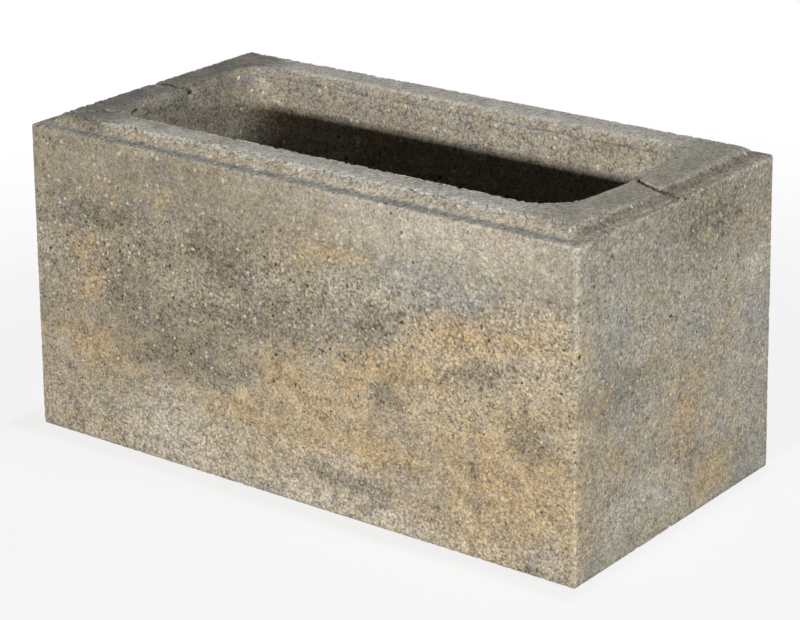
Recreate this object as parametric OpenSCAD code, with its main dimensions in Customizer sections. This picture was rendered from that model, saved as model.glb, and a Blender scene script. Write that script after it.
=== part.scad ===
// Hollow concrete masonry block with one large core that goes right through.
// X runs along the length, Y from front to back, Z up. The origin is the middle of the bed.

/* [Body] */
// Length of the block at the ledge around the rim
block_l = 390; // [250:1:600]
// Width of the block at the ledge, front to back
block_w = 200; // [150:1:400]
// Height from the bed to the ledge around the rim
body_h = 192; // [90:1:300]
// How far the draughted sides stand out at the bed, on each side
body_draft = 2.3; // [0:0.1:6]
// Radius of the four upright arrises at the ledge
arris_r = 1.5; // [0.5:0.25:4]

/* [Rim] */
// Height of the pressed rim above the ledge
rim_h = 6; // [5:0.5:15]
// How far the rim's slope runs in from its foot to its flat
rim_run = 6; // [1:0.5:10]
// Width of the ledge along the front and back
ledge_side = 8; // [4:0.5:12]
// Mean width of the ledge along the two ends
ledge_end = 6; // [4:0.5:12]
// How far the press shoe sat off centre, towards +X
shoe_shift = 2; // [0:0.25:3]

/* [Core] */
// Thickness of the walls just under the lip
wall_t = 36; // [30:1:45]
// How far the bevelled lip runs from the core wall out to the flat
lip_run = 4; // [1:0.5:6]
// Height of the bevelled lip
lip_h = 4; // [1:0.5:8]
// Corner radius of the core just under the lip
core_r = 25; // [8:1:29]
// How much narrower the core is at the bed than under the lip, on each side
core_draft = 2.5; // [0.5:0.25:6]

/* [Split lines] */
// Width of the groove left between the two halves of the press shoe
split_w = 2.5; // [0.5:0.25:5]
// Depth of that groove below the flat
split_d = 3.5; // [1:0.5:5]
// How far the groove lies behind the middle of the end walls
split_y = -4; // [-15:0.5:15]

/* [Hidden] */
// How far cutting shapes run past the faces that they cut
past = 5;
$fn = 96;

block_h = body_h + rim_h;
rim_foot_l = block_l - 2 * ledge_end;
rim_foot_w = block_w - 2 * ledge_side;
flat_l = rim_foot_l - 2 * rim_run;
flat_w = rim_foot_w - 2 * rim_run;
lip_z = block_h - lip_h;

// Axes of the upright arrises
arris_cx = block_l / 2 - arris_r;
arris_cy = block_w / 2 - arris_r;

// Axes of the core's corners, measured from the middle of the core
core_cx = block_l / 2 - wall_t - core_r;
core_cy = block_w / 2 - wall_t - core_r;

// Reach of the draughted core wall from its corner axis at a height z
function core_reach(z) = core_r - core_draft * (lip_z - z) / lip_z;

// Reach of the bevelled lip from the same axis
function lip_reach(z) = core_r + lip_run * (z - lip_z) / lip_h;

// Half section of the core: its draughted wall and then its lip, starting from x = -inner
function core_section(inner) = [
    [-inner, -past],
    [core_reach(-past), -past],
    [core_r, lip_z],
    [lip_reach(block_h + past), block_h + past],
    [-inner, block_h + past]
];

// A cone for each corner of the core, which reaches into the spans beside it
module core_corners() {
    for (sx = [0, 1])
        for (sy = [0, 1])
            mirror([sx, 0, 0])
                mirror([0, sy, 0])
                    translate([core_cx, core_cy, 0])
                        rotate_extrude()
                            polygon(core_section(0));
}

// The same section drawn straight along each of the four walls, and a little past the middle
module core_spans() {
    for (turn = [0, 180])
        rotate([0, 0, turn]) {
            translate([core_cx, core_cy, 0])
                rotate([90, 0, 0])
                    linear_extrude(2 * core_cy)
                        polygon(core_section(core_cx + past));
            translate([-core_cx, core_cy, 0])
                rotate([90, 0, 90])
                    linear_extrude(2 * core_cx)
                        polygon(core_section(core_cy + past));
        }
}

module core() {
    core_corners();
    core_spans();
}

// Outline of the press shoe across one direction: foot of the rim, its slopes and its flat
module rim_section(foot, flat) {
    polygon([[-foot / 2, 0], [foot / 2, 0], [flat / 2, rim_h], [-flat / 2, rim_h]]);
}

// The rim is what two crossed sections have in common, so its four slopes meet in mitres
module rim() {
    intersection() {
        rotate([90, 0, 0])
            linear_extrude(rim_foot_w, center = true)
                rim_section(rim_foot_l, flat_l);
        rotate([90, 0, 90])
            linear_extrude(rim_foot_l, center = true)
                rim_section(rim_foot_w, flat_w);
    }
}

// Reach of a draughted side from the axis of its arris at a height z
function side_reach(z) = arris_r + body_draft * (body_h - z) / body_h;

// Section across the block between two of its draughted sides, whose arris axes lie at -axis and axis
module side_section(axis) {
    polygon([
        [-axis - side_reach(0), 0],
        [axis + side_reach(0), 0],
        [axis + side_reach(body_h), body_h],
        [-axis - side_reach(body_h), body_h]
    ]);
}

// The mould box: two crossed sections, and a cone for each upright arris
module body() {
    rotate([90, 0, 0])
        linear_extrude(2 * arris_cy, center = true)
            side_section(arris_cx);
    rotate([90, 0, 90])
        linear_extrude(2 * arris_cx, center = true)
            side_section(arris_cy);
    for (sx = [-1, 1])
        for (sy = [-1, 1])
            translate([sx * arris_cx, sy * arris_cy, 0])
                rotate_extrude()
                    polygon([[0, 0], [side_reach(0), 0], [side_reach(body_h), body_h], [0, body_h]]);
}

// One V-shaped groove across both end walls, cut into the rim only
module split_lines() {
    slope = split_w / 2 / split_d;
    translate([0, split_y, block_h])
        rotate([90, 0, 90])
            linear_extrude(block_l, center = true)
                polygon([[0, -split_d], [slope * (split_d + past), past], [-slope * (split_d + past), past]]);
}

module block() {
    color([0.66, 0.62, 0.53])
        difference() {
            union() {
                body();
                translate([shoe_shift, 0, body_h])
                    rim();
            }
            core();
            split_lines();
        }
}

block();
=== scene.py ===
# %% [markdown]
# # A hollow concrete block
# The block is pressed from an earth-moist concrete in one mould: a steel box gives the four sides,
# a core that hangs in the box gives the hole, and a press shoe in two halves gives the raised rim.
# The frame holds the clean block at its true size. This lesson wears it down to the real one.

# %% Load the frame
import math

import bmesh
import bpy
import numpy as np
from mathutils import Matrix, Vector


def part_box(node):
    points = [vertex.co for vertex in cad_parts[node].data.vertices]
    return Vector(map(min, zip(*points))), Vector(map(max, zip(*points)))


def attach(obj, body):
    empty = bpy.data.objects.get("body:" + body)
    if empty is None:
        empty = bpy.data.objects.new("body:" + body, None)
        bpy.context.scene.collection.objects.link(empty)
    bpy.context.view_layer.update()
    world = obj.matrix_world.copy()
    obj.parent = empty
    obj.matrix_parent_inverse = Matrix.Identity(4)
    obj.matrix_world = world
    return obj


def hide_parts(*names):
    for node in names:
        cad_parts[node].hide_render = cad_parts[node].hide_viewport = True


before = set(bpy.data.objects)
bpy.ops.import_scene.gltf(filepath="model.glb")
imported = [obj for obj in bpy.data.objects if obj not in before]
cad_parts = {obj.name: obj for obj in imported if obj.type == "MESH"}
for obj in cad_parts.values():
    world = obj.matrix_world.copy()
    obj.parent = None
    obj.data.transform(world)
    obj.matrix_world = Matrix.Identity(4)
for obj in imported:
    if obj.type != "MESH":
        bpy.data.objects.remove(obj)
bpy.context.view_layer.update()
low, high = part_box("block")
length, width, height = high - low
print("block", [round(side * 1000, 1) for side in (length, width, height)], "mm")

# %% [markdown]
# ## Sizes
# Everything is in metres, because Blender's light and bump are made for metres. The outer sizes come
# from the frame. The rim, the lip and the core repeat the sizes of the construction.

# %% Sizes of the rim and the core
MM = 0.001
RIM_H = 6 * MM
RIM_RUN = 6 * MM
LEDGE_SIDE = 8 * MM
LEDGE_END = 6 * MM
SHOE_SHIFT = 2 * MM
ARRIS_R = 2 * MM
BODY_DRAFT = 2.3 * MM
WALL = 36 * MM
LIP_RUN = 4 * MM
LIP_H = 4 * MM
CORE_R = 25 * MM
CORE_DRAFT = 2.5 * MM
PAST = 5 * MM

ledge_z = height - RIM_H
lip_z = height - LIP_H
BOTH = Vector((2, 2))
bed = Vector((length, width))
ledge = bed - BOTH * BODY_DRAFT
foot = ledge - Vector((2 * LEDGE_END, 2 * LEDGE_SIDE))
flat = foot - BOTH * RIM_RUN
core_top = ledge - BOTH * WALL
core_bed = core_top - BOTH * CORE_DRAFT
print("ledge", ledge, "rim foot", foot, "flat", flat, "core", core_top)

# %% [markdown]
# ## Small helpers for modelling
# An operator works on whatever is selected, so every step first makes one object active and then
# selects faces or edges by where they are. That is what a hand with a mouse does, written down.

# %% Helpers for selecting
def activate(obj):
    """Leaves one object selected and active."""
    bpy.ops.object.select_all(action="DESELECT")
    obj.select_set(True)
    bpy.context.view_layer.objects.active = obj


def pick(obj, kind, test):
    """Selects the verts, edges or faces of the mesh in edit mode that pass a test."""
    modes = ("verts", "edges", "faces")
    bpy.context.tool_settings.mesh_select_mode = tuple(kind == mode for mode in modes)
    bpy.ops.mesh.select_all(action="DESELECT")
    mesh = bmesh.from_edit_mesh(obj.data)
    for part in getattr(mesh, kind):
        part.select_set(bool(test(part)))
    mesh.select_flush_mode()
    bmesh.update_edit_mesh(obj.data)


def looks_up(face):
    """True for a face that lies flat and looks upwards."""
    return face.normal.z > 0.9


def raise_face(up, size_from, size_to, shift=0.0):
    """Extrudes the selected face up and gives the new face another size and place."""
    bpy.ops.mesh.extrude_region_move(TRANSFORM_OT_translate={"value": (shift, 0, up)})
    bpy.ops.transform.resize(value=(size_to.x / size_from.x, size_to.y / size_from.y, 1))


def apply(obj, name, kind, **settings):
    """Adds a modifier with its settings and applies it."""
    modifier = obj.modifiers.new(name, kind)
    for key, value in settings.items():
        setattr(modifier, key, value)
    activate(obj)
    bpy.ops.object.modifier_apply(modifier=modifier.name)


# %% [markdown]
# ## The mould box and the press shoe
# The sides start as a cube whose top face is drawn in a little: the mould is lifted off upwards, so it
# is wider at the bed. Its upright edges are bevelled, because a mould's welded corners are a little
# round. The top face is then drawn in to the foot of the rim, which leaves the ledge, and raised to the
# flat, which gives the slope. The shoe sat off centre, so the rim does too.

# %% Model the sides and the rim
bpy.ops.object.select_all(action="DESELECT")
bpy.ops.mesh.primitive_cube_add(size=1, location=(0, 0, ledge_z / 2))
block = bpy.context.object
block.name = "concrete_block"
block.data.name = "concrete_block"
bpy.ops.object.mode_set(mode="EDIT")
bpy.ops.transform.resize(value=(length, width, ledge_z))
pick(block, "faces", looks_up)
bpy.ops.transform.resize(value=(ledge.x / bed.x, ledge.y / bed.y, 1))
pick(block, "edges", lambda edge: abs(edge.verts[0].co.z - edge.verts[1].co.z) > ledge_z / 2)
bpy.ops.mesh.bevel(offset=ARRIS_R, segments=3, affect="EDGES")
pick(block, "faces", looks_up)
raise_face(0, ledge, foot, SHOE_SHIFT)
raise_face(RIM_H, foot, flat)
bpy.ops.object.mode_set(mode="OBJECT")
bpy.ops.object.transform_apply(location=True, rotation=True, scale=True)
print("sides and rim:", len(block.data.polygons), "faces")

# %% [markdown]
# ## The core
# A plane with bevelled corners is the section of the core. It is raised twice: once along the
# draughted wall, which is wider at the top so that the core can be drawn, and once along the lip.
# A Boolean then takes it out of the block, as the press does. A drawn outline with a Solidify would
# give the wall too, but not its taper.

# %% Model the core and take it out
bpy.ops.object.select_all(action="DESELECT")
bpy.ops.mesh.primitive_plane_add(size=1, location=(0, 0, -PAST))
core = bpy.context.object
bpy.ops.object.mode_set(mode="EDIT")
bpy.ops.transform.resize(value=(core_bed.x, core_bed.y, 1))
bpy.ops.mesh.select_all(action="SELECT")
bpy.ops.mesh.bevel(offset=CORE_R, segments=12, affect="VERTICES")
pick(core, "faces", lambda face: True)
lip_slope = LIP_RUN / LIP_H
mouth = core_top + BOTH * lip_slope * (LIP_H + PAST)
raise_face(lip_z + PAST, core_bed, core_top)
raise_face(LIP_H + PAST, core_top, mouth)
bpy.ops.mesh.select_all(action="SELECT")
bpy.ops.mesh.normals_make_consistent(inside=False)
bpy.ops.object.mode_set(mode="OBJECT")
bpy.ops.object.transform_apply(location=True, rotation=True, scale=True)
apply(block, "core_hole", "BOOLEAN", operation="DIFFERENCE", object=core, solver="EXACT")
bpy.data.objects.remove(core)
print("with the core out:", len(block.data.polygons), "faces")

# %% [markdown]
# ## Lines that guide the wear
# Concrete breaks first along its edges. A copy of the clean block keeps only its sharp edges, and the
# distance to them says later where the edges crumble. A second set of lines is the split: the two
# halves of the press shoe meet over both end walls, and the concrete tears there when they lift.

# %% Make the guide lines
SHARP = math.radians(25)
arrises = block.copy()
arrises.data = block.data.copy()
arrises.name = "guide_arrises"
bpy.context.scene.collection.objects.link(arrises)
activate(arrises)
bpy.ops.object.mode_set(mode="EDIT")
bpy.ops.mesh.select_all(action="DESELECT")
bpy.ops.mesh.edges_select_sharp(sharpness=SHARP)
bpy.ops.mesh.select_all(action="INVERT")
bpy.ops.mesh.delete(type="EDGE")
bpy.ops.mesh.select_all(action="SELECT")
bpy.ops.mesh.delete(type="ONLY_FACE")
bpy.ops.object.mode_set(mode="OBJECT")

# Both splits run over an end wall, between the core and the ledge. Their points are in millimetres.
SPLIT_RIGHT = [
    (160, 6, 190), (163, 4, 195), (167.7, -0.5, 198), (173, -3.1, 198), (177, -4.5, 198),
    (182.7, -7.4, 198), (186.5, -8.3, 198), (188.6, -6.5, 196), (190.3, -1.6, 192.5), (192, -0.9, 192),
    (194.5, 1.5, 191.7), (195.2, 3.1, 191.1), (195.2, 9, 189.9), (195.2, 14, 190),
]
SPLIT_LEFT = [
    (-186, -9, 192.5), (-180.5, -6.5, 198), (-177.2, -3.3, 198), (-170.7, -3.2, 198), (-164.1, -3.9, 198),
    (-161.5, 0, 196.5), (-159.5, 3.4, 194), (-159, 3.2, 192), (-159, 0.9, 189.6), (-158.9, 2, 184.3),
    (-158.8, 4.6, 177.5), (-158.6, 6, 168), (-158.4, 7, 155),
]


def guide_line(name, points):
    """A chain of edges through points given in millimetres."""
    mesh = bpy.data.meshes.new(name)
    steps = [(k, k + 1) for k in range(len(points) - 1)]
    mesh.from_pydata([Vector(point) * MM for point in points], steps, [])
    line = bpy.data.objects.new(name, mesh)
    bpy.context.scene.collection.objects.link(line)
    return line


splits = [guide_line("guide_split_right", SPLIT_RIGHT), guide_line("guide_split_left", SPLIT_LEFT)]
print("sharp edges:", len(arrises.data.edges))

# %% [markdown]
# ## A fine skin to carve
# Chips and pits need many small faces of even size. The Remesh modifier makes them from any closed
# shape, and a short Smooth takes its steps away and rounds every edge by about a millimetre. Plain
# subdivision would keep the long faces of the clean block, which carve badly.

# %% Remesh the block
FINE = 1.15 * MM
apply(block, "fine_skin", "REMESH", mode="VOXEL", voxel_size=FINE, adaptivity=0.0)
apply(block, "soft_edges", "SMOOTH", factor=0.5, iterations=2)
print("fine skin:", len(block.data.vertices), "points")

# %% [markdown]
# ## The shoe's crooked half
# On the right end the front half of the shoe sat a little lower and askew, so the ledge narrows
# towards the split and the flat steps up behind it. These are slow moves of the whole rim, so the
# points are simply moved by a formula.

# %% Skew the front half of the right end
STEP_DOWN = 0.9 * MM
STEP_FROM = -60 * MM
STEP_FULL = -8 * MM
SKEW_CORNER = -3.0 * MM
SKEW_SPLIT = 3.2 * MM
SKEW_FROM = 130 * MM
SKEW_FULL = 175 * MM


def ramp(value, start, end):
    """0 before start, 1 after end, and a smooth rise between them."""
    share = np.clip((value - start) / (end - start), 0, 1)
    return share * share * (3 - 2 * share)


def points_of(obj):
    """The points of a mesh as rows of x, y and z."""
    rows = np.empty(len(obj.data.vertices) * 3)
    obj.data.vertices.foreach_get("co", rows)
    return rows.reshape(-1, 3)


def move_points(obj, points):
    """Puts the points of a mesh where the rows say."""
    obj.data.vertices.foreach_set("co", points.ravel())
    obj.data.update()


points = points_of(block)
x, y, z = points.T.copy()
path = np.array(SPLIT_RIGHT) * MM
before_split = (y < np.interp(x, path[:, 0], path[:, 1])) & (x > 0)
on_rim = ramp(z, ledge_z - 2 * MM, ledge_z + 0.5 * MM)
near_end = ramp(x, SKEW_FROM, SKEW_FULL) * (1 - ramp(x, foot.x / 2 + SHOE_SHIFT, ledge.x / 2))
along = np.clip(1 + y / (ledge.y / 2), 0, 1)
skew = SKEW_CORNER + (SKEW_SPLIT - SKEW_CORNER) * along
points[:, 0] += before_split * on_rim * near_end * skew
points[:, 2] -= before_split * on_rim * near_end * ramp(y, STEP_FROM, STEP_FULL) * STEP_DOWN
move_points(block, points)
print("moved", int((before_split & (on_rim * near_end > 0)).sum()), "points of the rim")

# %% [markdown]
# ## Writing node maths as Python
# Carving and colouring both use node trees. A small class wraps one output socket, so that a + b or
# 1 - mask adds the Math node by itself, and one method adds any other node.

# %% The node helper
class Value:
    """One output socket that takes part in Python arithmetic. a | b is the larger of the two."""

    def __init__(self, graph, socket):
        self.graph = graph
        self.socket = socket

    def math(self, operation, first, second):
        return self.graph.node("ShaderNodeMath", {"operation": operation}, {0: first, 1: second})

    def __add__(self, other):
        return self.math("ADD", self, other)

    __radd__ = __add__

    def __sub__(self, other):
        return self.math("SUBTRACT", self, other)

    def __rsub__(self, other):
        return self.math("SUBTRACT", other, self)

    def __mul__(self, other):
        return self.math("MULTIPLY", self, other)

    __rmul__ = __mul__

    def __or__(self, other):
        return self.math("MAXIMUM", self, other)

    def __abs__(self):
        return self.math("ABSOLUTE", self, 0.0)


class Graph:
    """A node tree, with one method for any node and a few for the patterns used here."""

    def __init__(self, tree):
        self.tree = tree
        self.tree.nodes.clear()

    def node(self, kind, settings=None, sockets=None, out=0):
        made = self.tree.nodes.new(kind)
        for name, value in (settings or {}).items():
            setattr(made, name, value)
        for key, value in (sockets or {}).items():
            if isinstance(value, Value):
                self.tree.links.new(value.socket, made.inputs[key])
            else:
                made.inputs[key].default_value = value
        if isinstance(out, tuple):
            return [Value(self, made.outputs[name]) for name in out]
        return Value(self, made.outputs[out]) if made.outputs else None

    def vector(self, operation, first, second):
        return self.node("ShaderNodeVectorMath", {"operation": operation}, {0: first, 1: second})

    def axis(self, vector, name):
        return self.node("ShaderNodeSeparateXYZ", None, {0: vector}, name)

    def step(self, value, start, end, low=0.0, high=1.0):
        """low up to start, high from end on, and a smooth change between them."""
        sockets = {"Value": value, "From Min": start, "From Max": end, "To Min": low, "To Max": high}
        return self.node("ShaderNodeMapRange", {"interpolation_type": "SMOOTHSTEP"}, sockets)

    def noise(self, place, size, detail=2.0, rough=0.5, out="Fac"):
        sockets = {"Vector": place, "Scale": 1 / size, "Detail": detail, "Roughness": rough}
        return self.node("ShaderNodeTexNoise", None, sockets, out)

    def cells(self, place, size):
        """Round cells of one size: the distance from their middle and two numbers of their own."""
        sockets = {"Vector": place, "Scale": 1 / size}
        distance, own = self.node("ShaderNodeTexVoronoi", None, sockets, ("Distance", "Color"))
        first, second = self.node("ShaderNodeSeparateXYZ", None, {0: own}, (0, 1))
        return distance, first, second

    def scatter(self, place, size, share, small, large):
        """Round spots in a share of the cells, each with its own radius, in cell sizes."""
        distance, chance, spread = self.cells(place, size)
        inside = self.step(spread * (large - small) + small - distance, 0.0, 0.10)
        return inside * self.step(chance, 1 - share - 0.01, 1 - share + 0.01)

    def mix(self, share, first, second):
        settings = {"data_type": "RGBA"}
        return self.node("ShaderNodeMix", settings, {0: share, 6: first, 7: second}, 2)

    def shift(self, place, offset):
        return self.vector("ADD", place, offset)

    def stretch(self, place, factors):
        return self.vector("MULTIPLY", place, factors)


# %% [markdown]
# ## Carving the surface
# A Geometry Nodes modifier moves each point along its normal, always inwards, so the block stays
# inside its true size. It adds up slow waves, sand, pits, crumbled edges, the gap under the lip and the
# split lines. Noise and Voronoi textures are the same nodes as in a material, so what is carved here
# can be coloured in the same places. Displace modifiers could do it too, one texture at a time.

# %% Patterns shared by the carving and the colour
PIT_CELL = 6.5 * MM
SMALL_PIT_CELL = 3.2 * MM
CORE_HALF = (162.5, 67.5)


def open_zone(graph, place):
    """Where the pressed face is coarse and open: most in a band half way up."""
    up = graph.axis(place, 2)
    band = graph.step(up, 15 * MM, 60 * MM) * graph.step(up, 120 * MM, 168 * MM, 1.0, 0.0)
    return graph.step(band * 0.4 + graph.noise(place, 38 * MM, 3.0), 0.42, 0.95)


def pits(graph, place):
    """Small holes between the grains, 0 on the face and 1 in a hole."""
    opened = open_zone(graph, place)
    large = graph.scatter(place, PIT_CELL, 0.55, 0.08, 0.28) * graph.step(opened, 0.1, 0.6, 0.2, 1.0)
    other = graph.shift(place, (0.31, 0.17, 0.53))
    small = graph.scatter(other, SMALL_PIT_CELL, 0.40, 0.10, 0.34) * graph.step(opened, 0.0, 0.7, 0.3, 1.0)
    return large | small * 0.75


def pressed(graph, place):
    """1 on the flat that the shoe pressed smooth, with a frayed border."""
    frayed = graph.axis(place, 2) + graph.noise(place, 8 * MM, 3.0) * 2.0 * MM
    return graph.step(frayed, height - 1.6 * MM, height + 0.2 * MM)


def core_zone(graph, place, blur):
    """1 inside the core and 0 outside it. The border is blurred to both sides, in millimetres."""
    inside = []
    for axis, half in enumerate(CORE_HALF):
        reach = abs(graph.axis(place, axis))
        inside.append(graph.step(reach, (half - blur) * MM, (half + blur) * MM, 1.0, 0.0))
    return inside[0] * inside[1]


print("pits lie in cells of", [round(size / MM, 1) for size in (PIT_CELL, SMALL_PIT_CELL)], "mm")

# %% Build the carving tree
carving = bpy.data.node_groups.new("carving", "GeometryNodeTree")
carving.interface.new_socket("Geometry", in_out="INPUT", socket_type="NodeSocketGeometry")
carving.interface.new_socket("Geometry", in_out="OUTPUT", socket_type="NodeSocketGeometry")
g = Graph(carving)
skin = g.node("NodeGroupInput", None, None, "Geometry")
place = g.node("GeometryNodeInputPosition")
normal = g.node("GeometryNodeInputNormal")


def distance_to(obj):
    """How far each point is from the lines of a guide."""
    lines = g.node("GeometryNodeObjectInfo", None, {"Object": obj}, "Geometry")
    return g.node("GeometryNodeProximity", {"target_element": "EDGES"}, {0: lines}, "Distance")


def dashes(size, start, end):
    """Broken stretches along a line."""
    return g.step(g.noise(place, size, 2.0), start, end)


def spot_at(point, inner, outer):
    """1 within the inner radius of a point and 0 from the outer one on, all in millimetres."""
    sockets = {0: place, 1: [v * MM for v in point]}
    distance = g.node("ShaderNodeVectorMath", {"operation": "DISTANCE"}, sockets, "Value")
    return g.step(distance, inner * MM, outer * MM, 1.0, 0.0)


print("carving tree starts with", len(carving.nodes), "nodes")

# %% [markdown]
# ### Where the wear sits
# The tree first finds the places: the edges, the two splits, the core and the lip over it. The splits
# are frayed by a noise and open wider at one end, and the outer end of the right one breaks into dashes.

# %% Find the edges, the splits and the lip
across, deep, up = g.node("ShaderNodeSeparateXYZ", None, {0: place}, (0, 1, 2))
smooth_top = pressed(g, place)
edge = g.step(distance_to(arrises), 0.0, 5 * MM, 1.0, 0.0)
fray = (g.noise(place, 3 * MM, 3.0) - 0.5) * 2.6 * MM
open_right = g.step(across, 184 * MM, 187 * MM, 0.0, 1.3 * MM)
open_right = open_right * g.step(across, 190.5 * MM, 192 * MM, 1.0, 0.0)
tear_right = g.step(distance_to(splits[0]) + fray - open_right, 0.8 * MM, 1.9 * MM, 1.0, 0.0)
broken = g.step(across, 192.5 * MM, 194 * MM) * (1.0 - dashes(4 * MM, 0.50, 0.58))
open_left = g.step(across, -173 * MM, -168 * MM, 1.8 * MM, 0.0)
tear_left = g.step(distance_to(splits[1]) + fray - open_left, 0.7 * MM, 1.8 * MM, 1.0, 0.0)
share_left = g.step(across, -175 * MM, -171 * MM, 1.0, 0.5) * g.step(up, 186 * MM, 192 * MM, 0.15, 1.0)
torn = tear_right * (1.0 - broken) | tear_left * share_left | spot_at((-159.6, 3.2, 193.5), 1.2, 3.2)

in_core = core_zone(g, place, 1.0)
under_lip = g.step(up, lip_z - 1.6 * MM, lip_z - 0.4 * MM)
under_lip = under_lip * g.step(up, lip_z + 0.2 * MM, lip_z + 1.4 * MM, 1.0, 0.0)
hollow = spot_at((-153.5, -54, 194), 7, 12)
gap = under_lip * in_core * (dashes(6 * MM, 0.52, 0.72) * 0.08 | hollow)
front_lip = g.step(deep, -60 * MM, -50 * MM, 1.0, 0.3)
lip_edge = g.step(up, lip_z + 1 * MM, lip_z + 3 * MM) * front_lip
print("places found with", len(carving.nodes), "nodes")

# %% [markdown]
# ### How deep the wear goes
# Each kind of wear has a depth of its own. What is shallower than FLUSH in all is left out, so that the
# pressed faces stay where the mould put them. The right split gets shallow towards the outer side.

# %% Add up the depths
# Depths in millimetres.
WAVE = 0.3
SAND = 0.7
LUMP = 0.4
CHIP = 0.8
NICK = 0.4
LIP_NICK = 2.2
PIT = 1.4
PIT_LOSS = 0.9
GAP = 2.2
FLUSH = 0.4 * MM
TEAR_DEEP = 4.5 * MM
TEAR_SHALLOW = 0.9 * MM
waves = g.noise(place, 60 * MM, 2.0) * WAVE * MM
calm = (1.0 - smooth_top * 0.85) * (1.0 - in_core * 0.6)
sand = g.step(g.noise(place, 2.4 * MM, 3.0, 0.6), 0.42, 0.85) * calm * SAND * MM
lumps = g.step(g.noise(place, 7 * MM, 2.0), 0.45, 0.85) * calm * LUMP * MM
crumbs = edge * (dashes(9 * MM, 0.60, 0.80) * CHIP * MM + dashes(3.2 * MM, 0.50, 0.75) * NICK * MM)
crumbs = crumbs + lip_edge * edge * dashes(3 * MM, 0.46, 0.60) * LIP_NICK * MM
holes = pits(g, place) * (PIT * MM - smooth_top * PIT_LOSS * MM)
worn = (waves + sand + lumps + crumbs + holes - FLUSH) | 0.0
tear_depth = g.step(across, 189 * MM, 193 * MM, TEAR_DEEP, TEAR_SHALLOW)
depth = worn + torn * tear_depth + gap * GAP * MM

CARVED = ("edge", "torn", "gap")
inwards = g.node("ShaderNodeVectorMath", {"operation": "SCALE"}, {0: normal, "Scale": depth * -1.0})
moved = g.node("GeometryNodeSetPosition", None, {"Geometry": skin, "Offset": inwards})
for name, field in zip(CARVED, (edge, torn, gap)):
    moved = g.node("GeometryNodeStoreNamedAttribute", {"data_type": "FLOAT", "domain": "POINT"},
                   {"Geometry": moved, "Name": name, "Value": field})
g.node("NodeGroupOutput", None, {"Geometry": moved})
print("carving tree:", len(carving.nodes), "nodes")

# %% [markdown]
# The carved skin has far more triangles than its flat parts need. Decimate keeps them where the shape
# is rough and takes them away elsewhere, down to a number that any viewer handles. A few points end up
# a hair outside the mould, so they are pulled back on to its sides, its bed and the press shoe.

# %% Carve and thin out the skin
TRIANGLES = 190_000
apply(block, "carving", "NODES", node_group=carving)
for guide in [arrises] + splits:
    bpy.data.objects.remove(guide)
triangles = sum(len(face.vertices) - 2 for face in block.data.polygons)
apply(block, "thin_out", "DECIMATE", ratio=TRIANGLES / triangles, use_collapse_triangulate=True)
points = points_of(block)
side_reach = np.array(bed) / 2 - BODY_DRAFT * np.clip(points[:, 2:] / ledge_z, 0, 1)
points[:, :2] = np.clip(points[:, :2], -side_reach, side_reach)
points[:, 2] = np.clip(points[:, 2], 0, height)
move_points(block, points)
activate(block)
bpy.ops.object.shade_smooth()
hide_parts("block")
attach(block, "root")
kept = len(block.data.polygons)
print("carved", triangles, "triangles, kept", kept, sorted(block.data.attributes.keys()))

# %% [markdown]
# ## The colour of the concrete
# Several mixes go into the mould one after the other: beige, ochre, slate, charcoal and pale grey. They
# lie in tilted clouds that fade grain by grain. Each cloud is a soft ball, stretched and tilted by a
# Mapping node, and every grain follows it more or less than the next. A painted picture could hold
# the same clouds, but a formula also colours the core and the hidden sides.

# %% Colours
def tone(red, green, blue):
    """A colour as seen on a screen, turned into the linear values that a shader takes."""
    def linear(value):
        share = value / 255
        return share / 12.92 if share <= 0.04045 else ((share + 0.055) / 1.055) ** 2.4
    return (linear(red), linear(green), linear(blue), 1.0)


ABOVE_LEFT = tone(146, 136, 116)
ABOVE_RIGHT = tone(174, 166, 148)
BELOW_LEFT = tone(164, 152, 131)
BELOW_RIGHT = tone(186, 169, 140)
END_TONE = tone(166, 157, 142)
OCHRE = tone(184, 154, 108)
CHARCOAL = tone(108, 102, 87)
PALE = tone(202, 193, 177)
SLATE = tone(138, 143, 150)
PRESS_LIGHT = tone(168, 166, 159)
PRESS_LEFT = tone(86, 86, 84)
PRESS_RIGHT = tone(134, 130, 120)
LEDGE_GREY = tone(120, 121, 121)
ASH = tone(140, 139, 135)
STRAW = tone(184, 166, 124)
ROSE = tone(166, 148, 136)
CREAM = tone(236, 228, 208)
RUST = tone(196, 158, 108)
# Near black: painted shade in pits, tears and the gap under the lip.
PAINTED_HOLLOW_SHADE = tone(46, 42, 36)
print("ochre in linear light:", [round(share, 3) for share in OCHRE[:3]])
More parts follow.
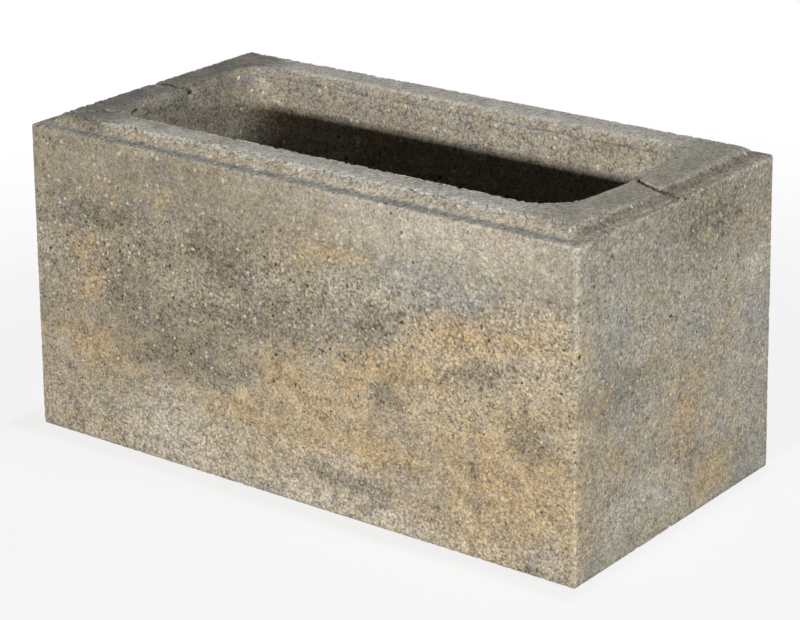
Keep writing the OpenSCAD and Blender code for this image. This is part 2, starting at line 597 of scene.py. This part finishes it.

# %% [markdown]
# ### Where the clouds lie
# The clouds are placed on the front and on the right end, where the real block has them. Loose
# clouds, which belong to no place, are added with them for the sides that aren't seen.

# %% Place the clouds
# Each cloud: middle, half sizes and tilt. Millimetres in the block's frame, tilt in degrees.
FRONT = -100
END = 195
OCHRE_CLOUDS = [
    ((150, FRONT, 52), (90, 60, 50), -8), ((65, FRONT, 92), (95, 44, 24), -24),
    ((130, FRONT, 130), (90, 44, 18), -16), ((8, FRONT, 74), (42, 30, 32), 0),
    ((60, FRONT, 46), (80, 40, 24), 0), ((-155, FRONT, 112), (22, 30, 32), 12),
    ((-148, FRONT, 62), (48, 36, 20), 8), ((-95, FRONT, 163), (30, 30, 7), 0),
    ((28, FRONT, 156), (36, 30, 12), 0), ((-30, FRONT, 48), (50, 36, 14), 0),
    ((END, -82, 98), (40, 30, 16), 0), ((END, -60, 62), (40, 26, 26), 0),
    ((END, 8, 62), (40, 38, 46), 0), ((END, 35, 22), (40, 40, 22), 0),
]
CHARCOAL_CLOUDS = [
    ((-118, FRONT, 98), (42, 50, 42), 0), ((-80, FRONT, 76), (70, 50, 24), 0),
    ((-20, FRONT, 106), (80, 45, 28), -10), ((60, FRONT, 118), (52, 40, 14), -24),
    ((-150, FRONT, 145), (54, 40, 20), 0), ((-45, FRONT, 136), (40, 40, 34), 0),
    ((135, FRONT, 108), (44, 26, 9), -22), ((166, FRONT, 80), (22, 26, 20), 0),
    ((72, FRONT, 80), (16, 26, 18), 0), ((40, FRONT, 25), (36, 26, 10), 0),
    ((END, 30, 172), (40, 80, 34), 0), ((-180, 0, 198), (60, 120, 14), 0),
]
PALE_CLOUDS = [
    ((-95, FRONT, 20), (75, 40, 28), 0), ((50, FRONT, 34), (60, 40, 12), 0),
    ((0, FRONT, 5), (200, 40, 16), 0), ((100, FRONT, 182), (110, 40, 22), 0),
    ((END, -30, 26), (40, 60, 22), 0), ((END, 82, 132), (40, 26, 18), 0),
    ((0, 100, 190), (200, 50, 40), 0),
]
SLATE_CLOUDS = [
    ((105, FRONT, 152), (60, 36, 20), 0), ((END, 86, 96), (40, 34, 36), 0),
    ((END, 86, 10), (40, 40, 26), 0), ((END, 15, 116), (40, 32, 20), 0),
    ((END, -62, 136), (40, 26, 24), 0), ((END, -54, 84), (40, 22, 30), 0),
    ((42, FRONT, 24), (40, 30, 12), 0), ((180, FRONT, 8), (30, 40, 20), 0),
]
print("clouds:", [len(places) for places in (OCHRE_CLOUDS, CHARCOAL_CLOUDS, PALE_CLOUDS, SLATE_CLOUDS)])

# %% [markdown]
# ## The concrete material
# The colour is laid on in the order in which the block came about: first the layers and their clouds,
# then the grey skin that the shoe pressed, then the sand, and last coarse grains, pits and tears.
# The cells below are the grains, which all the steps share.

# %% Build the concrete
concrete = bpy.data.materials.new("pressed_concrete")
concrete.use_nodes = True
g = Graph(concrete.node_tree)
place = g.node("ShaderNodeTexCoord", None, None, "Object")
stray = g.vector("SUBTRACT", g.noise(place, 30 * MM, 4.0, 0.6, out="Color"), (0.5, 0.5, 0.5))
drifted = g.vector("ADD", place, g.stretch(stray, (0.045, 0.045, 0.030)))
layers = g.stretch(drifted, (1.0, 1.0, 2.1))


def cloud(middle, half, tilt):
    """A soft ball, 1 in its middle and 0 outside."""
    sockets = {"Vector": drifted, "Location": [v * MM for v in middle], "Scale": [v * MM for v in half],
               "Rotation": (0, math.radians(tilt), 0)}
    inside = g.node("ShaderNodeMapping", {"vector_type": "TEXTURE"}, sockets)
    return g.node("ShaderNodeTexGradient", {"gradient_type": "SPHERICAL"}, {"Vector": inside}, "Fac")


def clouds(places, seed):
    """Placed clouds together with looser ones that reach round all sides."""
    spread = g.noise(g.shift(layers, (seed, seed, seed)), 70 * MM, 3.0)
    total = g.step(spread, 0.48, 0.85, 0.0, 0.5)
    for middle, half, tilt in places:
        total = total | cloud(middle, half, tilt)
    return total


GRAIN = 1.5 * MM
grain_round, grain_pick, grain_light = g.cells(place, GRAIN)


def by_grain(mask, strength):
    """Lets single grains follow a soft mask sooner or later than others."""
    return mask * (grain_pick * 1.2 + 0.4) * strength


print("grains of", round(GRAIN / MM, 1), "mm")

# %% [markdown]
# ### Two layers with a tilted border
# On the front a darker layer lies over a warmer one, and their border climbs to the right. The clouds
# of the four mixes go over both, and small patches break them up. A ramp would only give level bands.

# %% Mix the layers and the clouds
# Each mix: its clouds, a number that moves its loose clouds, its share and its colour.
MIXES = [
    (PALE_CLOUDS, 1.7, 0.82, PALE), (OCHRE_CLOUDS, 4.3, 0.74, OCHRE),
    (SLATE_CLOUDS, 7.9, 0.50, SLATE), (CHARCOAL_CLOUDS, 2.9, 0.88, CHARCOAL),
]
across, deep, up = g.node("ShaderNodeSeparateXYZ", None, {0: drifted}, (0, 1, 2))
border = g.step(across, -90 * MM, 190 * MM, 53 * MM, 143 * MM)
border = border + g.step(across, -195 * MM, -110 * MM, 14 * MM, 0.0)
above = g.step(up - border, -9 * MM, 9 * MM)
over = g.mix(g.step(across, -120 * MM, 130 * MM), ABOVE_LEFT, ABOVE_RIGHT)
under = g.mix(g.step(across, -130 * MM, 20 * MM), BELOW_LEFT, BELOW_RIGHT)
color = g.mix(above, under, over)
color = g.mix(g.step(deep, -100 * MM, -84 * MM) * 0.85, color, END_TONE)
for places, seed, strength, mixed in MIXES:
    color = g.mix(by_grain(clouds(places, seed), strength), color, mixed)
patches = g.noise(g.shift(place, (0.6, 0.3, 0.2)), 13 * MM, 3.0, 0.6, out="Color")
for number, patch in enumerate((ASH, STRAW, ROSE)):
    color = g.mix(by_grain(g.step(g.axis(patches, number), 0.50, 0.72), 0.36), color, patch)
print("layers and clouds:", len(concrete.node_tree.nodes), "nodes")

# %% [markdown]
# ### The pressed rim
# The shoe leaves a smooth grey skin on the flat, and the slope and the ledge stay rough. The ledge is
# greyer, partly its own paste and partly painted shade under the slope. Painted shade darkens the
# slopes, more at the left end and most at the right end, and the ledge at the right end. The three lie
# at three heights, so the height alone tells them apart. A noise wears the skin off in places.

# %% Colour the rim
real_x, real_y, real_z = g.node("ShaderNodeSeparateXYZ", None, {0: place}, (0, 1, 2))
smooth_top = pressed(g, place)
on_rim = g.step(real_z, ledge_z - 1.2 * MM, ledge_z - 0.3 * MM)
on_ledge = on_rim * g.step(real_z, ledge_z + 0.1 * MM, ledge_z + 0.9 * MM, 1.0, 0.0)
on_slope = on_rim * (1.0 - smooth_top) * (1.0 - on_ledge)
left_end = g.step(real_x, -165 * MM, -125 * MM, 1.0, 0.0)
right_end = g.step(real_x, 140 * MM, 175 * MM)
press = g.mix(right_end, g.mix(left_end, PRESS_LIGHT, PRESS_LEFT), PRESS_RIGHT)
worn_press = g.step(g.noise(place, 28 * MM, 3.0), 0.35, 0.68, 0.95, 0.6)
right_side = g.step(real_x, 183 * MM, 187 * MM)
color = g.mix(smooth_top * worn_press, color, press)
# The ledge's grey is partly its own paste and partly painted shade under the slope.
color = g.mix(on_ledge * (0.75 - right_side * 0.5), color, LEDGE_GREY)
# Painted shade: the slopes are darker, more at the left end and most at the right end, and so is the ledge
# at the right end.
painted_shade = 1.0 - on_slope * (left_end * 0.2 + right_side * 0.42 + 0.12) - on_ledge * right_side * 0.28
print("with the rim:", len(concrete.node_tree.nodes), "nodes")

# %% [markdown]
# ### Sand
# Two sizes of cells are the sand. Each cell has a lightness of its own, and some of the small ones take
# the tint of another mix. Painted shade darkens the borders between the large cells. The core gets
# painted shade too: a little all over, more further down and on its left wall under the lip. A noise
# alone would give soft blots and no grains.

# %% Colour the sand
in_core = core_zone(g, place, 1.5)
# Painted shade in the core: its left wall under the lip and its lower walls are darker, and the rest a
# little.
painted_core_shade = g.step(real_x, -158 * MM, -146 * MM, 0.3, 0.0) * g.step(real_z, 189 * MM, 193 * MM, 1.0, 0.0)
painted_core_shade = painted_core_shade | g.step(real_z, 120 * MM, 165 * MM, 0.45, 0.0)
painted_shade = painted_shade * (1.0 - in_core * (painted_core_shade + 0.12))
front = g.step(real_y, -99 * MM, -96 * MM, 1.0, 0.0)
coarse = 0.9 + front * 0.1 - front * g.step(real_z, 140 * MM, 170 * MM) * 0.25
coarse = coarse * (1.0 - on_rim) + on_rim * (0.95 - smooth_top * 0.15)
coarse = coarse | in_core
mottle = g.noise(place, 9 * MM, 5.0, 0.75)
streak = g.noise(g.stretch(place, (0.06, 0.06, 1.0)), 2.5 * MM, 2.0)
_, tiny_light, tiny_pick = g.cells(g.shift(place, (0.4, 0.1, 0.8)), 0.9 * MM)
# Painted shade between the large grains.
painted_grain_shade = g.step(grain_round, 0.45, 0.80)
tinted = 0.28 - smooth_top * 0.2
color = g.mix(g.step(tiny_pick, 0.70, 0.80) * tinted, color, STRAW)
color = g.mix(g.step(tiny_pick, 0.18, 0.28, 1.0, 0.0) * tinted, color, SLATE)
light = (grain_light - 0.5) * 0.68 + (tiny_light - 0.5) * 0.68 - (painted_grain_shade - 0.25) * 0.4
light = light + (mottle - 0.5) * 1.7 + (streak - 0.5) * 0.35
light = (light * coarse + 1.22) * painted_shade
gray = g.node("ShaderNodeCombineColor", None, {0: light, 1: light, 2: light})
times = {"data_type": "RGBA", "blend_type": "MULTIPLY"}
color = g.node("ShaderNodeMix", times, {0: 1.0, 6: color, 7: gray}, 2)
print("with the sand:", len(concrete.node_tree.nodes), "nodes")

# %% [markdown]
# ### Coarse grains, pits and tears
# Single coarse grains in cream, rust and charcoal have ragged outlines, so their places are bent by a
# fine noise. Pits, edges and tears take their places from the carving, so colour and shape agree. Pits,
# tears and the gap under the lip are painted almost black, as painted shade in these hollows.

# %% Colour the coarse grains, the pits and the tears
bent = g.vector("SUBTRACT", g.noise(place, 1.6 * MM, 2.0, out="Color"), (0.5, 0.5, 0.5))
ragged = g.vector("ADD", place, g.stretch(bent, (2.2 * MM, 2.2 * MM, 2.2 * MM)))
cream = g.scatter(g.shift(ragged, (0.11, 0.23, 0.37)), 4.2 * MM, 0.34, 0.08, 0.34)
rust = g.scatter(g.shift(ragged, (0.7, 0.2, 0.4)), 4.0 * MM, 0.22, 0.14, 0.40)
dark = g.scatter(g.shift(ragged, (0.3, 0.9, 0.6)), 3.0 * MM, 0.32, 0.12, 0.38)
color = g.mix(cream * (coarse - smooth_top * 0.55) * 0.78, color, CREAM)
color = g.mix(rust * (coarse - smooth_top * 0.55) * 0.45, color, RUST)
color = g.mix(dark * coarse * 0.55, color, CHARCOAL)
holes = pits(g, place)
# Painted shade: the pits are painted almost black.
color = g.mix(holes * coarse * 0.95, color, PAINTED_HOLLOW_SHADE)
edge, torn, gap = [g.node("ShaderNodeAttribute", {"attribute_name": name}, None, "Fac") for name in CARVED]
front_lip = g.step(real_y, -77 * MM, -71 * MM) * g.step(real_y, -64 * MM, -62 * MM, 1.0, 0.0)
crumbs = g.step(edge, 0.15, 0.45) * front_lip * on_rim * g.scatter(ragged, 2.8 * MM, 0.6, 0.2, 0.5)
color = g.mix(g.step(edge, 0.6, 1.0) * grain_pick * 0.12, color, PALE)
color = g.mix(crumbs * 0.8, color, CREAM)
# Painted shade: the tears and the gap under the lip are painted almost black.
color = g.mix(g.step(torn | gap, 0.1, 0.6) * 0.92, color, PAINTED_HOLLOW_SHADE)
print("with grains, pits and tears:", len(concrete.node_tree.nodes), "nodes")

# %% [markdown]
# ### The finish
# Concrete is dull, and only the pressed flat shines a little. Bump adds the round of single grains,
# which is finer than the carved mesh.

# %% Finish the concrete
dents = {"Strength": 0.7, "Distance": 0.5 * MM, "Height": grain_round * (1.0 - smooth_top * 0.7)}
bump = g.node("ShaderNodeBump", {"invert": True}, dents)
finish = {"Base Color": color, "Normal": bump, "Roughness": 0.93 - smooth_top * 0.12,
          "Specular IOR Level": 0.25}
shader = g.node("ShaderNodeBsdfPrincipled", None, finish)
g.node("ShaderNodeOutputMaterial", None, {"Surface": shader})
block.data.materials.clear()
block.data.materials.append(concrete)
print("concrete:", len(concrete.node_tree.nodes), "nodes")

# %% [markdown]
# ## The floor
# The floor is a pale sheet. To the camera it shines almost by itself, keeps a soft shadow of the block
# and turns white further off. To all other rays it is nearly black, so it throws no light into the core.

# %% Floor
NEAR_GLOW = 0.8


def to_the_eye(graph):
    """1 for rays that the camera sees, straight on or by way of gloss or glass."""
    seen = graph.node("ShaderNodeLightPath", None, None, "Is Camera Ray")
    for ray in ("Is Glossy Ray", "Is Transmission Ray"):
        seen = seen | graph.node("ShaderNodeLightPath", None, None, ray)
    return seen


bpy.ops.object.select_all(action="DESELECT")
bpy.ops.mesh.primitive_plane_add(size=8, location=(0, 0, 0))
floor = bpy.context.object
floor.name = "floor"
paper = bpy.data.materials.new("white_paper")
paper.use_nodes = True
g = Graph(paper.node_tree)
spot = g.node("ShaderNodeTexCoord", None, None, "Object")
far = g.step(g.node("ShaderNodeVectorMath", {"operation": "LENGTH"}, {0: spot}, "Value"), 0.25, 0.75)
quiet = g.node("ShaderNodeBsdfDiffuse", None, {"Color": (0.04, 0.04, 0.04, 1)})
sheet = g.node("ShaderNodeBsdfDiffuse", None, {"Color": (0.8, 0.8, 0.8, 1)})
glow = g.node("ShaderNodeEmission", None, {"Color": (1, 1, 1, 1), "Strength": 1.0})
blank = g.node("ShaderNodeMixShader", None, {0: far * (1 - NEAR_GLOW) + NEAR_GLOW, 1: sheet, 2: glow})
seen_floor = g.node("ShaderNodeMixShader", None, {0: to_the_eye(g), 1: quiet, 2: blank})
g.node("ShaderNodeOutputMaterial", None, {"Surface": seen_floor})
floor.data.materials.append(paper)
print("floor:", [round(side, 1) for side in floor.dimensions], "m")

# %% [markdown]
# ## The light
# Four small lamps stand round the block. The key is low in front, because the shadow in the core starts
# only some 30 mm under the rim. One on the right, a little blue, lights the end wall. One almost
# straight above lights the flat of the rim and only grazes the walls of the core. One behind, level
# with the block, keeps the far sides from going black. The world is white to the camera and almost dark
# to all else.

# %% Light
def lamp(name, direction, distance, size, power, tint=(1, 1, 1)):
    """A square lamp that looks at the middle of the block from a direction."""
    data = bpy.data.lights.new(name, "AREA")
    data.size = size
    data.energy = power
    data.color = tint
    obj = bpy.data.objects.new(name, data)
    bpy.context.scene.collection.objects.link(obj)
    way = Vector(direction).normalized()
    obj.location = Vector((0, 0, height / 2)) + way * distance
    obj.rotation_euler = way.to_track_quat("Z", "Y").to_euler()
    obj.visible_camera = False


KEY_SLOPE = math.radians(12.3)
DIM = 0.005
BLUISH = (0.93, 0.97, 1.0)
lamp("key", (0.10, -1, math.tan(KEY_SLOPE)), distance=3.0, size=0.14, power=71)
lamp("right", (1, 0.08, 0.20), distance=2.2, size=0.25, power=28.3, tint=BLUISH)
lamp("top", (0.03, 0.045, 1), distance=2.6, size=0.12, power=23.5)
lamp("back", (-0.8, 1, 0), distance=2.6, size=0.16, power=56)

world = bpy.data.worlds.new("studio")
bpy.context.scene.world = world
world.use_nodes = True
g = Graph(world.node_tree)
strength = to_the_eye(g) * (1 - DIM) + DIM
sky = g.node("ShaderNodeBackground", None, {"Color": (1, 1, 1, 1), "Strength": strength})
g.node("ShaderNodeOutputWorld", None, {"Surface": sky})

# %% [markdown]
# ## The camera
# The camera was fitted to the six corners of the block that the photograph shows. It stands to the
# right of the front and looks down a little. Its axes come from two angles and a small roll.

# %% Camera
AZIMUTH = math.radians(37.585)
ELEVATION = math.radians(20.325)
ROLL = math.radians(-0.678)
DISTANCE = 1.5580
ASIDE = Vector((2.805, -9.503)) * MM
FOCAL_PIXELS = 2630.4
IMAGE_WIDTH = 800

back = Vector((math.sin(AZIMUTH) * math.cos(ELEVATION), -math.cos(AZIMUTH) * math.cos(ELEVATION),
               math.sin(ELEVATION)))
level = Vector((math.cos(AZIMUTH), math.sin(AZIMUTH), 0))
rise = back.cross(level)
right = math.cos(ROLL) * level + math.sin(ROLL) * rise
top = math.cos(ROLL) * rise - math.sin(ROLL) * level
eye = Vector((0, 0, ledge_z / 2)) + back * DISTANCE + right * ASIDE.x + top * ASIDE.y
lens = bpy.data.cameras.new("camera")
lens.sensor_width = 36
lens.sensor_fit = "HORIZONTAL"
lens.lens = FOCAL_PIXELS / IMAGE_WIDTH * lens.sensor_width
camera = bpy.data.objects.new("camera", lens)
bpy.context.scene.collection.objects.link(camera)
camera.matrix_world = Matrix.Translation(eye) @ Matrix((right, top, back)).transposed().to_4x4()
bpy.context.scene.camera = camera
bpy.context.scene.view_settings.view_transform = "Standard"
print("camera at", eye, "lens", round(lens.lens, 1))
